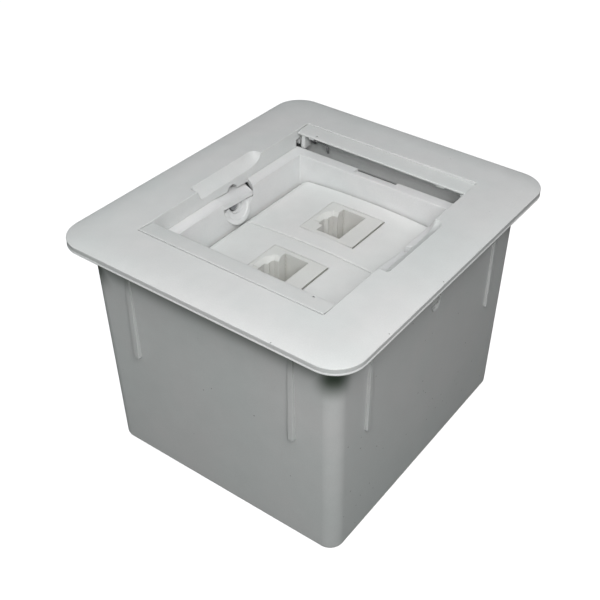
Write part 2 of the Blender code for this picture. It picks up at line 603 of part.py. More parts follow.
def make_clamp_jaw(side, name):
    """Upright ends, top and bottom along the screw axis, a narrower toothed arm in the U slot."""
    def corner(x, offset):
        return x, CLAMP_Z - (x - TRAY_X) * math.tan(CLAMP_TILT) + offset
    body = [corner(JAW_X0, 3.0), corner(JAW_X1, 3.0), corner(JAW_X1, -3.2), corner(JAW_X0, -3.2)]
    arm = [corner(ARM_X0, ARM_RISE), corner(ARM_X1, ARM_RISE)]
    arm_top = arm[1][1]
    for k in range(TEETH):
        z = arm_top - TOOTH_PITCH * k
        arm += [(ARM_X1 - TOOTH_DEPTH, z - TOOTH_ROOT), (ARM_X1, z - TOOTH_PITCH)]
    arm.append(corner(ARM_X0, -ARM_RISE))
    solid(f"clamp_jaw_{name}",
          extrude(sided(side, body), "y", CLAMP_Y - JAW_HALF, CLAMP_Y + JAW_HALF), JAW, [
              (ADD, extrude(sided(side, arm), "y", -1.75, 1.5)),
              (CUT, clamp_turned(side, JAW_BORE))])


# ---------------------------------------------------------------- tray screws
TRAY_SCREW_Z = 57.15
# height above the head's underside, radius
TRAY_SCREW = [(0, 1.2), (0.25, 1.75), (0.7, 2.05), (1.25, 2.05), (1.26, 1.1), (4.75, 1.1),
              (5.05, 0.5)]
CROSS_LONG, CROSS_THIN = 1.0, 0.2   # half sizes of the cross recess


def make_tray_screw(x, y):
    """Head down, with a cross recess cut up into it."""
    name = f"tray_screw_{'front' if y < 0 else 'rear'}_{'left' if x < 0 else 'right'}"
    cross = [(CUT, block(x - half_x, x + half_x, y - half_y, y + half_y, 56.5, 57.75))
             for half_x, half_y in ((CROSS_THIN, CROSS_LONG), (CROSS_LONG, CROSS_THIN))]
    solid(name, turned(TRAY_SCREW, (x, y, TRAY_SCREW_Z), UP, 18), ZINC, cross)


# ---------------------------------------------------------------- grommet
# section: distance out from the wall's inner face, radius
GROMMET = [(-1.6, 4.3), (-1.6, 6.9), (-0.45, 7.2), (-0.45, 5.75), (BOX_WALL + 0.45, 5.75),
           (BOX_WALL + 0.45, 7.2), (BOX_WALL + 1.5, 6.6), (BOX_WALL + 1.5, 4.3)]
GROMMET_SEGMENTS = 28


def make_grommet():
    wall_y = box_half(ENTRY_Z)[1] - BOX_WALL
    angles = [2 * math.pi * i / GROMMET_SEGMENTS for i in range(GROMMET_SEGMENTS)]
    rings = [[(radius * math.cos(a), wall_y + out, ENTRY_Z + radius * math.sin(a))
              for a in angles] for out, radius in GROMMET]
    solid("cable_grommet", loft(rings, loop=True), RUBBER)


make_trim_frame()
make_box_body()
make_tray()
for box_end in ("front", "rear"):
    make_flap(box_end)
    make_spring(box_end)
    make_plate(box_end)
    make_jack(box_end)
for clamp_side, clamp_name in ((-1, "left"), (1, "right")):
    make_clamp_screw(clamp_side, clamp_name)
    make_clamp_jaw(clamp_side, clamp_name)
for ear_x, ear_y in EARS:
    make_tray_screw(ear_x, ear_y)
make_grommet()
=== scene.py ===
"""Looks of the flush data outlet box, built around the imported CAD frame.

The box stands on z = 0 with its long side along Y and is centred on the Z axis. The trim frame
lies on top, front is -Y and left is -X. Sizes are in millimetres unless a line says otherwise;
meshes and objects are in metres.
"""
import json
import math

import bmesh
import bpy
from mathutils import Matrix, Vector


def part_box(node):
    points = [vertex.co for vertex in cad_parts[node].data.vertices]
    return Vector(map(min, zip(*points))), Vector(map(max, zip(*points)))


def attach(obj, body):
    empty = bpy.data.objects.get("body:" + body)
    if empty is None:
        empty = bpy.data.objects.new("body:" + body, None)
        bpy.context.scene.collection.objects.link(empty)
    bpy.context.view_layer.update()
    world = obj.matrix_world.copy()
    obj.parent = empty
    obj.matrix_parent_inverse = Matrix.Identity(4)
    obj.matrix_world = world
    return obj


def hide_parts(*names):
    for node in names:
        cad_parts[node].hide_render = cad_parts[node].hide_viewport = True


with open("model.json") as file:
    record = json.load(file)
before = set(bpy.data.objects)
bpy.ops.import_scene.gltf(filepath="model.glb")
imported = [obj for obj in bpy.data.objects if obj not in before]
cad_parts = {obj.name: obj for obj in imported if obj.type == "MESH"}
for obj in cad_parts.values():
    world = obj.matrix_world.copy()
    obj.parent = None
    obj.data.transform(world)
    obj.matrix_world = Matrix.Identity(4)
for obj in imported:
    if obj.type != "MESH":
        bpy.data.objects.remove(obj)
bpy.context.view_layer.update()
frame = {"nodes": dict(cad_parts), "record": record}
MM = 0.001
SIDES = (-1, 1)
ENDS = ("front", "rear")
JOINTS = {joint["name"]: joint for joint in frame["record"]["behaviour"]["joints"]}


def mm_box(node):
    low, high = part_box(node)
    return tuple(c / MM for c in low), tuple(c / MM for c in high)


# ---------------------------------------------------------------- driving sizes
# A name ending in _X or _Y is a half size about the Z axis, one ending in _Z is a height.
FRAME_X, FRAME_Y, TOP_Z = mm_box("trim_frame")[1]
BODY_X, BODY_Y, BOX_TOP_Z = mm_box("box_body")[1]
TRAY_LOW, TRAY_HIGH = mm_box("module_tray")

FLANGE_R = 7.6
RIM_DROP, RIM_T = 0.75, 1.8
UNDER_Z = TOP_Z - RIM_DROP - RIM_T  # underside of the flange
WINDOW_X, WINDOW_Y, WINDOW_R = 26.2, 32.97, 0.5
LEDGE_X, LEDGE_Y, LEDGE_Z = 29.3, TRAY_HIGH[1], TRAY_HIGH[2]
LEDGE_T = 1.7
SKIRT_T, SKIRT_Z = 1.5, LEDGE_Z + 0.02  # wall round the window, standing on the tray ledge
CURTAIN_Z = TOP_Z - 8.8
SEAT_X, SEAT_Y = 36.2, 41.7
HOOK_XS = (-14.0, 14.0)  # frame legs and the bowl catches they meet

BOX_TOP_X, BOX_BOTTOM_X = BODY_X - 0.3, BODY_X - 0.62
BOX_TOP_Y, BOX_BOTTOM_Y = BODY_Y - 0.06, BODY_Y - 1.76
BOX_R, BOX_WALL, BOX_FLOOR = 3.8, 1.8, 2.0
RIB_Z = 33.7

TRAY_X, TRAY_Y, TRAY_CENTRE_Y = 22.8, 25.4, -0.9
TRAY_WALL, TRAY_DRAFT, TRAY_Z = 1.3, 0.45, TRAY_LOW[2]
EARS = [(side * 30.0, y) for side in SIDES for y in (-20.0, 18.5)]

PLATE = {end: mm_box(f"module_plate_{end}") for end in ENDS}
PLATE_X, _, CROWN_Z = PLATE["rear"][1]
JACK = {end: mm_box(f"jack_housing_{end}") for end in ENDS}
JACK_X0, JACK_X1, JACK_Y = -7.5, 8.3, 7.3


def joint_line(name):
    """Position (m) and unit axis of a joint."""
    return Vector(JOINTS[name]["pos_m"]), Vector(JOINTS[name]["axis"]).normalized()


CLAMPS = [joint_line(f"clamp_screw_{name}_turn") for name in ("left", "right")]
HINGE = {end: joint_line(f"flap_{end}_hinge") for end in ENDS}
REST_OPEN = {"front": math.radians(2.5), "rear": math.radians(-2.0)}


# ---------------------------------------------------------------- meshes
# A shape is a (vertices in mm, faces) pair.
def add_object(name, shape, matrix=None):
    vertices, faces = shape
    mesh = bpy.data.meshes.new(name)
    mesh.from_pydata([tuple(c * MM for c in v) for v in vertices], [], faces)
    bm = bmesh.new()
    bm.from_mesh(mesh)
    bmesh.ops.recalc_face_normals(bm, faces=bm.faces)
    bm.to_mesh(mesh)
    bm.free()
    ob = bpy.data.objects.new(name, mesh)
    bpy.context.scene.collection.objects.link(ob)
    if matrix is not None:
        ob.matrix_world = matrix
    return ob


def rounded_ring(half_x, half_y, radius, z, centre_y=0.0, seg=16):
    """Rounded rectangle at height z, with seg steps in each corner."""
    points = []
    for side_x, side_y, start in ((1, 1, 0), (-1, 1, 90), (-1, -1, 180), (1, -1, 270)):
        for i in range(seg + 1):
            a = math.radians(start + 90 * i / seg)
            points.append((side_x * (half_x - radius) + radius * math.cos(a),
                           centre_y + side_y * (half_y - radius) + radius * math.sin(a), z))
    return points


def loft(rings, loop=False):
    """Skin over rings of equal length: closed on itself with loop, capped without."""
    n = len(rings[0])
    vertices = [p for ring in rings for p in ring]
    faces = []
    for k in range(len(rings) if loop else len(rings) - 1):
        a, b = k * n, ((k + 1) % len(rings)) * n
        faces += [(a + i, a + (i + 1) % n, b + (i + 1) % n, b + i) for i in range(n)]
    if not loop:
        faces += [tuple(range(n)), tuple(range((len(rings) - 1) * n, len(rings) * n))]
    return vertices, faces


def extrude(outline, axis, start, end):
    """Prism along an axis; the outline holds the two other coordinates in x, y, z order."""
    def put(p, t):
        return {"x": (t, p[0], p[1]), "y": (p[0], t, p[1]), "z": (p[0], p[1], t)}[axis]
    return loft([[put(p, t) for p in outline] for t in sorted((start, end))])


def block(xs, ys, zs):
    """Box between pairs of coordinates, each given in either order."""
    (x0, x1), (y0, y1) = sorted(xs), sorted(ys)
    return extrude([(x0, y0), (x1, y0), (x1, y1), (x0, y1)], "z", *zs)


def circle(centre, u, v, radius, seg):
    angles = (2 * math.pi * i / seg for i in range(seg))
    return [tuple(centre + (u * math.cos(a) + v * math.sin(a)) * radius) for a in angles]


def turned(profile, origin, direction, seg=40):
    """Solid of revolution; profile rows are (distance along the axis, radius)."""
    axis = Vector(direction).normalized()
    u = axis.orthogonal().normalized()
    v = axis.cross(u)
    return loft([circle(Vector(origin) + axis * along, u, v, radius, seg)
                 for along, radius in profile])


def peg(radius, length, origin, direction, seg=40):
    return turned([(0, radius), (length, radius)], origin, direction, seg)


def wire(points, radius, seg=12):
    """Round wire along points, thinner at both tips."""
    points = [Vector(p) for p in points]
    last = len(points) - 1
    tangents = [(points[min(i + 1, last)] - points[max(i - 1, 0)]).normalized()
                for i in range(len(points))]
    u = tangents[0].orthogonal().normalized()
    rings = []
    for i, (point, tangent) in enumerate(zip(points, tangents)):
        u = (u - tangent * u.dot(tangent)).normalized()
        tip = 0.7 if i in (0, last) else 1.0
        rings.append(circle(point, u, tangent.cross(u), radius * tip, seg))
    return loft(rings)


def group(*shapes):
    vertices, faces = [], []
    for more_vertices, more_faces in shapes:
        k = len(vertices)
        vertices += list(more_vertices)
        faces += [tuple(i + k for i in face) for face in more_faces]
    return vertices, faces


def corner_blocks(xs, ys, zs):
    """The same block in all four quarters."""
    return group(*[block([side_x * x for x in xs], [side_y * y for y in ys], zs)
                   for side_x in SIDES for side_y in SIDES])


ADD, CUT = "UNION", "DIFFERENCE"


def combine(ob, *steps):
    """Apply boolean steps of (operation, shape) in order."""
    tools = []
    for k, (operation, shape) in enumerate(steps):
        tool = add_object(f"{ob.name}_tool_{k}", shape)
        boolean = ob.modifiers.new(f"boolean_{k}", "BOOLEAN")
        boolean.operation = operation
        boolean.object = tool
        boolean.solver = "EXACT"
        tools.append(tool)
    bpy.context.view_layer.update()
    graph = bpy.context.evaluated_depsgraph_get()
    done = bpy.data.meshes.new_from_object(ob.evaluated_get(graph))
    ob.modifiers.clear()
    ob.data = done
    for tool in tools:
        bpy.data.objects.remove(tool)


def roll_edges(ob, width, angle):
    bevel = ob.modifiers.new("edge_roll", "BEVEL")
    bevel.width = width * MM
    bevel.segments = 2
    bevel.limit_method = "ANGLE"
    bevel.angle_limit = math.radians(angle)
    return bevel


def tidy(ob, bevel=0.0, bevel_angle=0):
    """Merge loose points, roll the edges with a real bevel, and weight the normals."""
    bm = bmesh.new()
    bm.from_mesh(ob.data)
    bmesh.ops.remove_doubles(bm, verts=bm.verts, dist=2e-6)
    bmesh.ops.dissolve_degenerate(bm, edges=bm.edges, dist=1e-6)
    bmesh.ops.dissolve_limit(bm, angle_limit=math.radians(0.3), verts=bm.verts, edges=bm.edges)
    bm.to_mesh(ob.data)
    bm.free()
    if bevel:
        modifier = roll_edges(ob, bevel, bevel_angle)
        modifier.use_clamp_overlap = True
        modifier.miter_outer = "MITER_ARC"
    ob.data.shade_smooth()
    weighted = ob.modifiers.new("weighted", "WEIGHTED_NORMAL")
    weighted.weight = 80
    weighted.keep_sharp = True
    ob.data.set_sharp_from_angle(angle=math.radians(40))


def install(ob, material, body, node):
    """Give the object its material and put it on a body in place of a CAD node."""
    ob.data.materials.clear()
    ob.data.materials.append(material)
    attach(ob, body)
    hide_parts(node)


# ---------------------------------------------------------------- shader building
class Shader:
    """A node material in the making. Node methods return output sockets."""

    def __init__(self, name):
        self.material = bpy.data.materials.new(name)
        self.material.use_nodes = True
        self.tree = self.material.node_tree
        self.surface = self.tree.nodes["Principled BSDF"]
        self.coord = self.add("ShaderNodeTexCoord")["Object"]

    def feed(self, node, inputs):
        """Link each input to a socket, or set it to a number or an RGB colour."""
        for key, value in inputs.items():
            if isinstance(value, bpy.types.NodeSocket):
                self.tree.links.new(value, node.inputs[key])
            else:
                node.inputs[key].default_value = (
                    (*value, 1.0) if isinstance(value, tuple) else value)

    def add(self, kind, inputs={}, **props):
        node = self.tree.nodes.new(kind)
        for key, value in props.items():
            setattr(node, key, value)
        self.feed(node, inputs)
        return node.outputs

    def finish(self, inputs):
        self.feed(self.surface, inputs)
        return self.material

    def mix(self, factor, a, b, blend="MIX"):
        # 0, 6 and 7 are the factor and the two colour inputs, 2 is the colour output
        return self.add("ShaderNodeMix", {0: factor, 6: a, 7: b},
                        data_type="RGBA", blend_type=blend)[2]

    def math(self, operation, *values):
        return self.add("ShaderNodeMath", dict(enumerate(values)), operation=operation)[0]

    def dot(self, a, b):
        return self.add("ShaderNodeVectorMath", {0: a, 1: b}, operation="DOT_PRODUCT")["Value"]

    def smooth(self, value, start, end):
        """0 to 1 between two lengths in mm."""
        return self.add("ShaderNodeMapRange", {0: value, 1: start * MM, 2: end * MM},
                        interpolation_type="SMOOTHSTEP")[0]

    def ramp(self, source, start, end):
        """Grey ramp between two (position, grey) stops."""
        node = self.tree.nodes.new("ShaderNodeValToRGB")
        for element, (position, grey) in zip(node.color_ramp.elements, (start, end)):
            element.position = position
            element.color = (grey, grey, grey, 1)
        self.feed(node, {0: source})
        return node.outputs[0]

    def noise(self, scale, detail=3.0, roughness=0.55):
        return self.add("ShaderNodeTexNoise", {"Scale": scale, "Detail": detail,
                                               "Roughness": roughness,
                                               "Vector": self.coord})["Fac"]

    def bump(self, height, strength, distance, normal=None):
        """Distance in metres."""
        inputs = {"Strength": strength, "Distance": distance, "Height": height}
        if normal:
            inputs["Normal"] = normal
        return self.add("ShaderNodeBump", inputs)[0]


def tinted(colour, *factors):
    return tuple(c * k for c, k in zip(colour, factors))


# ---------------------------------------------------------------- plastic
def worn_and_lit_edges(shader, rolled, normal, wear_and_highlight):
    """Mask of edges, lightened as rubbed wear and as a painted highlight: the rolled normal
    departs from the true one only near them.
    """
    edge = shader.ramp(shader.dot(rolled, normal), start=(0.86, 1.0), end=(0.985, 0.0))
    patches = shader.ramp(shader.noise(scale=900.0), start=(0.35, 0.25), end=(0.6, 1.0))
    return shader.math("MULTIPLY", shader.math("MULTIPLY", edge, patches), wear_and_highlight)


def painted_corner_shade(shader, corner_shade):
    """Mask of the inside corners, darkened as painted shade taken from ambient occlusion."""
    occlusion = shader.add("ShaderNodeAmbientOcclusion", {"Distance": 0.0016}, samples=4)["AO"]
    shade = shader.ramp(occlusion, start=(0.25, 1.0), end=(0.8, 0.0))
    return shader.math("MULTIPLY", shade, corner_shade)


def flange_shade(shader, normal, depth):
    """Mask of the outside wall kept dark by the flange overhead, deepest at the corners."""
    calc = shader.math
    x, y, z = shader.add("ShaderNodeSeparateXYZ", {0: shader.coord})
    away_x, away_y = calc("ABSOLUTE", x), calc("ABSOLUTE", y)
    corner = calc("MULTIPLY", shader.smooth(away_x, BOX_TOP_X - 7.5, BOX_TOP_X - 1.6),
                  shader.smooth(away_y, BOX_TOP_Y - 7.5, BOX_TOP_Y - 1.6))
    wall_fall = shader.smooth(z, BOX_TOP_Z - depth, BOX_TOP_Z - 2.5)
    corner_fall = shader.smooth(z, BOX_TOP_Z - depth - 3.5, BOX_TOP_Z - 6.5)
    outside = calc("GREATER_THAN", shader.dot(normal, shader.coord), 0.01)
    wall_strength = 0.92
    return calc("MULTIPLY", outside,
                calc("MAXIMUM", calc("MULTIPLY", wall_fall, wall_strength),
                     calc("MULTIPLY", corner, corner_fall)))


def speck_mask(shader, share):
    """Small dots in the given share of Voronoi cells."""
    cells = shader.add("ShaderNodeTexVoronoi", {"Scale": 400.0, "Vector": shader.coord},
                       feature="F1")
    near = shader.ramp(cells["Distance"], start=(0.045, 1.0), end=(0.085, 0.0))
    red = shader.add("ShaderNodeSeparateColor", {0: cells["Color"]})[0]
    rare = shader.ramp(red, start=(1.0 - share, 0.0), end=(1.0 - share * 0.7, 1.0))
    return shader.math("MULTIPLY", near, rare)


def plastic(name, base, rough, wear_and_highlight, corner_shade, grain=0.8, specks=0.0, coat=0.0, shade_depth=0.0):
    """Moulded plastic: shade drift, fine grain, rubbed edges with a painted highlight, painted
    shade in the inside corners, specks, and painted shadow under the flange when shade_depth is
    given.
    """
    shader = Shader(name)
    drift = shader.noise(scale=38.0)
    cloud = shader.noise(scale=240.0, detail=4.0)
    fine = shader.noise(scale=3600.0, detail=2.0, roughness=0.6)
    colour = shader.mix(shader.ramp(drift, start=(0.35, 0.0), end=(0.65, 1.0)),
                        base, tinted(base, 0.955, 0.985, 0.98))
    for pattern, darkest in ((cloud, 0.965), (fine, 0.955)):
        shade = shader.ramp(pattern, start=(0.3, darkest), end=(0.7, 1.0))
        colour = shader.mix(1.0, colour, shade, blend="MULTIPLY")

    normal = shader.add("ShaderNodeNewGeometry")["Normal"]
    rolled = shader.add("ShaderNodeBevel", {"Radius": 0.00028}, samples=4)[0]
    worn_and_lit = worn_and_lit_edges(shader, rolled, normal, wear_and_highlight)
    # rubbed edges: lighter as wear, and partly a painted edge highlight
    rubbed_and_lit = tuple(min(0.95, c * 1.16 + 0.02) for c in base)
    colour = shader.mix(worn_and_lit, colour, rubbed_and_lit)
    # painted shade: inside corners darkened where ambient occlusion finds them
    colour = shader.mix(painted_corner_shade(shader, corner_shade), colour, tinted(base, 0.50, 0.49, 0.46))
    if shade_depth:
        colour = shader.mix(flange_shade(shader, normal, shade_depth), colour,
                            tinted(base, 0.07, 0.10, 0.07))
    if specks:
        colour = shader.mix(speck_mask(shader, specks), colour, tinted(base, 0.35, 0.35, 0.35))

    roughness = shader.ramp(cloud, start=(0.3, rough - 0.06), end=(0.7, rough + 0.06))
    roughness = shader.mix(worn_and_lit, roughness, (rough * 0.75,) * 3)
    grained = shader.bump(fine, strength=grain, distance=0.000012, normal=rolled)
    waved = shader.bump(cloud, strength=0.25, distance=0.00005, normal=grained)
    inputs = {"Base Color": colour, "Roughness": roughness, "Normal": waved,
              "IOR": 1.5, "Specular IOR Level": 0.42}
    if coat:
        inputs.update({"Coat Weight": coat, "Coat Roughness": 0.25})
    return shader.finish(inputs)


def metal(name, base, rough, dark, scale=1800.0):
    """Bare metal with darker patches; scale sets its fine texture."""
    shader = Shader(name)
    fine = shader.noise(scale=scale, detail=4.0)
    patches = shader.noise(scale=420.0)
    colour = shader.mix(shader.ramp(patches, start=(0.35, 0.0), end=(0.7, 1.0)),
                        base, tinted(base, dark, dark, dark))
    roughness = shader.ramp(fine, start=(0.3, rough * 0.7), end=(0.7, rough * 1.4))
    return shader.finish({"Base Color": colour, "Metallic": 1.0, "Roughness": roughness,
                          "Normal": shader.bump(fine, strength=0.3, distance=0.00001)})


# In each look below, the inside-corner darkening is painted shade, and the edge lightening is
# wear plus a painted highlight.
FRAME_ABS = plastic("look_frame", (0.80, 0.808, 0.806), rough=0.42, wear_and_highlight=0.85, corner_shade=0.12,
                    specks=0.09)
BOWL_ABS = plastic("look_bowl", (0.70, 0.712, 0.71), rough=0.44, wear_and_highlight=0.08, corner_shade=0.35,
                   specks=0.08, shade_depth=10.5)
TRAY_ABS = plastic("look_tray", (0.86, 0.855, 0.86), rough=0.42, wear_and_highlight=0.6, corner_shade=0.2,
                   specks=0.01)
FLAP_ABS = plastic("look_flap", (0.80, 0.81, 0.805), rough=0.40, wear_and_highlight=0.7, corner_shade=0.12,
                   specks=0.04)
PLATE_ABS = plastic("look_plate", (0.87, 0.868, 0.862), rough=0.36, wear_and_highlight=0.95, corner_shade=0.30,
                    grain=0.3, coat=0.1)
JACK_ABS = plastic("look_jack", (0.82, 0.82, 0.80), rough=0.40, wear_and_highlight=0.1, corner_shade=0.85, grain=0.35)
CAP_GREY = plastic("look_wire_cap", (0.50, 0.52, 0.53), rough=0.32, wear_and_highlight=0.4, corner_shade=0.3,
                   grain=0.3, coat=0.3)
BLOCK_WHITE = plastic("look_wiring_block", (0.70, 0.69, 0.64), rough=0.45, wear_and_highlight=0.4, corner_shade=0.4)
JAW_NYLON = plastic("look_jaw", (0.60, 0.61, 0.60), rough=0.5, wear_and_highlight=0.5, corner_shade=0.4)
BOARD_GREEN = plastic("look_board", (0.03, 0.16, 0.07), rough=0.35, wear_and_highlight=0.3, corner_shade=0.2,
                      coat=0.4)
RUBBER = plastic("look_grommet", (0.035, 0.035, 0.037), rough=0.7, wear_and_highlight=0.5, corner_shade=0.2)
GOLD = metal("look_contact_gold", (0.83, 0.60, 0.24), rough=0.25, dark=0.75)
ZINC = metal("look_zinc", (0.50, 0.51, 0.53), rough=0.32, dark=0.6)
SPRING_STEEL = metal("look_spring", (0.30, 0.30, 0.31), rough=0.42, dark=0.6, scale=2600.0)


# ---------------------------------------------------------------- trim frame
SCOOP_START, SCOOP_END = -12.4, 12.3
SCOOP_SIZE = 2.7  # width beyond the window and depth
SCOOP_ROLL, SCOOP_CORNER = 6.2, 2.1
# (share of width, share of depth) from the top edge down to the window wall
SCOOP_SECTION = ((1, 0), (0.86, 0.30), (0.62, 0.58), (0.33, 0.82), (0, 1))


def scoop(side, seg=14):
    """Finger scoop: square slanted face at its front end, a rolled-out rear end."""
    # (y, share of width, share of depth)
    stations = [(SCOOP_START, 0.92, 0.03), (SCOOP_START + 0.55, 0.97, 0.5),
                (SCOOP_START + 1.0, 1.0, 0.88), (SCOOP_START + 1.35, 1.0, 1.0)]
    for i in range(seg + 1):
        t = math.sin(math.pi / 2 * i / seg)
        y = SCOOP_END - SCOOP_ROLL + SCOOP_ROLL * t
        deep = math.sqrt(max(0.0, 1 - t ** 2.4))
        c = max(0.0, (y - (SCOOP_END - SCOOP_CORNER)) / SCOOP_CORNER)
        wide = 1 - (SCOOP_CORNER / SCOOP_SIZE) * (1 - math.sqrt(max(0.0, 1 - c * c)))
        stations.append((y, wide, max(deep, 0.02)))
    rings = []
    for y, wide, deep in stations:
        width, depth = SCOOP_SIZE * wide, SCOOP_SIZE * deep
        section = [(-1.0, TOP_Z + 1), (width, TOP_Z + 1)]
        section += [(width * across, TOP_Z - down * depth) for across, down in SCOOP_SECTION]
        section.append((-1.0, TOP_Z - depth))
        rings.append([(side * (WINDOW_X + x), y, z) for x, z in section])
    return loft(rings)


def flap_matrix(end):
    """Flap space: x along the hinge axis, z up, origin on the hinge, turned to its rest."""
    position, x_axis = HINGE[end]
    y_axis = Vector((0, 0, 1)).cross(x_axis).normalized()
    z_axis = x_axis.cross(y_axis).normalized()
    turn = Matrix((x_axis, y_axis, z_axis)).transposed().to_4x4()
    return Matrix.Translation(position) @ turn @ Matrix.Rotation(REST_OPEN[end], 4, "X")


def frame_rings():
    """Closed section of the frame, from the window edge out over the top and back below."""
    # rows are (half x, half y, corner radius, z)
    rows = [(WINDOW_X + out, WINDOW_Y + out, WINDOW_R + out, TOP_Z - drop)
            for out, drop in ((0, 0.11), (0.02, 0.055), (0.055, 0.02), (0.12, 0))]
    rows.append((WINDOW_X + 5.5, WINDOW_Y + 5.5, 3.0, TOP_Z - 0.01))
    # crowned top: (inset from the outer edge, drop)
    for inset, drop in ((6.0, 0.02), (5.0, 0.05), (4.2, 0.10), (3.4, 0.17), (2.7, 0.25),
                        (2.0, 0.35), (1.4, 0.46), (0.8, 0.59)):
        rows.append((FRAME_X - inset, FRAME_Y - inset, FLANGE_R - inset * 0.6, TOP_Z - drop))
    # rim with a shallow groove: (inset, z)
    rim_z = TOP_Z - RIM_DROP
    for inset, z in ((0.20, rim_z), (0.08, rim_z - 0.05), (0.03, rim_z - 0.16),
                     (0.16, UNDER_Z + 0.50), (0.02, UNDER_Z + 0.32), (0, UNDER_Z + 0.25),
                     (0, UNDER_Z + 0.14), (0.05, UNDER_Z + 0.04), (0.15, UNDER_Z)):
        rows.append((FRAME_X - inset, FRAME_Y - inset, FLANGE_R - inset, z))
    # seat on the bowl, then the skirt round the window
    skirt = (WINDOW_X + SKIRT_T, WINDOW_Y + SKIRT_T, WINDOW_R + 1.0)
    rows += [(SEAT_X, SEAT_Y, 4.4, UNDER_Z), (SEAT_X - 0.2, SEAT_Y - 0.2, 4.2, UNDER_Z + 0.6),
             (*skirt, UNDER_Z + 0.6), (*skirt, SKIRT_Z), (WINDOW_X, WINDOW_Y, WINDOW_R, SKIRT_Z)]
    return [rounded_ring(*row) for row in rows]


def hooked_legs():
    # (distance from the middle along Y, z)
    outline = [(36.6, UNDER_Z + 0.8), (37.8, UNDER_Z + 0.8), (37.8, 56.7), (38.5, 56.6),
               (38.5, 55.9), (37.8, 54.2), (36.6, 54.2)]
    return group(*[extrude([(side * y, z) for y, z in outline], "x", x - 3, x + 3)
                   for side in SIDES for x in HOOK_XS])


def hinge_sockets():
    sockets = []
    for end in ENDS:
        matrix = flap_matrix(end)
        for side in SIDES:
            origin = matrix @ (Vector((side * (WINDOW_X - 0.7), 0, 0)) * MM) / MM
            sockets.append(peg(0.97, 1.95, origin, matrix.to_3x3() @ Vector((side, 0, 0))))
    return group(*sockets)


def make_frame():
    ob = add_object("trim_frame_shell", loft(frame_rings(), loop=True))
    backs = group(*[block((side * (WINDOW_X + 0.2), side * (WINDOW_X + 3.5)), (-13.6, 13.6),
                          (SKIRT_Z + 1.2, UNDER_Z + 0.7)) for side in SIDES])
    curtains = group(*[block((-WINDOW_X - 1.2, WINDOW_X + 1.2),
                             (side * WINDOW_Y, side * (WINDOW_Y + SKIRT_T)),
                             (CURTAIN_Z, UNDER_Z + 0.6)) for side in SIDES])
    bosses = group(*[peg(2.3, UNDER_Z + 0.9 - SKIRT_Z, (x, y, SKIRT_Z), (0, 0, 1))
                     for x, y in EARS])
    pilots = group(*[peg(1.2, 2.6, (x, y, SKIRT_Z - 0.6), (0, 0, 1)) for x, y in EARS])
    # the skirt dips into the ledge's cut-out on both sides, with a half-round relief over
    # each clamp screw; dip rows are (y, z)
    dip = [(-5.85, SKIRT_Z + 0.3), (-5.85, SKIRT_Z - 0.02), (6.6, SKIRT_Z - 1.05),
           (6.6, SKIRT_Z + 0.3)]
    dips = group(*[extrude(dip, "x", side * WINDOW_X, side * (WINDOW_X + SKIRT_T))
                   for side in SIDES])
    arches = group(*[peg(1.95, 3.4, (side * (WINDOW_X - 0.6), 0.45, SKIRT_Z - 1.0),
                         (side, 0, 0), 48) for side in SIDES])
    # openings beside the flap legs through which the hinge pins are pushed in
    gates = corner_blocks((WINDOW_X - 0.3, WINDOW_X + 2.2), (27.6, 29.5),
                          (SKIRT_Z - 1.0, SKIRT_Z + 2.1))
    combine(ob, (ADD, backs), (ADD, curtains), (ADD, bosses), (ADD, hooked_legs()),
            (ADD, dips), (CUT, pilots), (CUT, scoop(-1)), (CUT, scoop(1)), (CUT, arches),
            (CUT, gates), (CUT, hinge_sockets()))
    tidy(ob, bevel=0.09, bevel_angle=38)
    install(ob, FRAME_ABS, "box", "trim_frame")


# ---------------------------------------------------------------- bowl
def box_half(z):
    """Outer half sizes of the drafted box at height z."""
    t = z / BOX_TOP_Z
    return (BOX_BOTTOM_X + (BOX_TOP_X - BOX_BOTTOM_X) * t,
            BOX_BOTTOM_Y + (BOX_TOP_Y - BOX_BOTTOM_Y) * t)


def bowl_rings():
    """Up the outside from the rounded foot, then down the inside to the floor."""
    foot_r, foot_steps = 1.3, 8
    rows = []  # (z, inset from the outside, corner radius)
    for i in range(foot_steps + 1):
        a = math.pi / 2 * i / foot_steps
        inset = foot_r * (1 - math.sin(a))
        rows.append((foot_r * (1 - math.cos(a)), inset, BOX_R - inset * 0.7))
    rows += [(z, 0, BOX_R) for z in (RIB_Z - 4, 50.0, BOX_TOP_Z)]
    rows += [(z, BOX_WALL + fillet, BOX_R - BOX_WALL)
             for z, fillet in ((BOX_TOP_Z, 0), (BOX_FLOOR + 1.0, 0), (BOX_FLOOR + 0.3, 0.3),
                               (BOX_FLOOR, 1.0))]
    rings = []
    for z, inset, radius in rows:
        half_x, half_y = box_half(z)
        rings.append(rounded_ring(half_x - inset, half_y - inset, radius, z, seg=18))
    return rings


def outer_ribs():
    """Two upright ribs on each outside wall."""
    # (extrusion axis, inner root, outer face, half width, places along the wall)
    walls = (("y", BOX_TOP_X - 1.2, BODY_X + 0.32, 0.62, (-27.95, 28.1)),
             ("x", BOX_TOP_Y - 1.6, BODY_Y + 0.22, 0.70, (-23.0, 23.5)))
    top, bottom = BOX_TOP_Z - 0.5, RIB_Z + 0.05
    ribs = []
    for side in SIDES:
        for axis, root, face, half, places in walls:
            section = [(side * root, top), (side * face, top),
                       (side * face, bottom), (side * root, bottom)]
            ribs += [extrude(section, axis, at - half, at + half) for at in places]
    return group(*ribs)


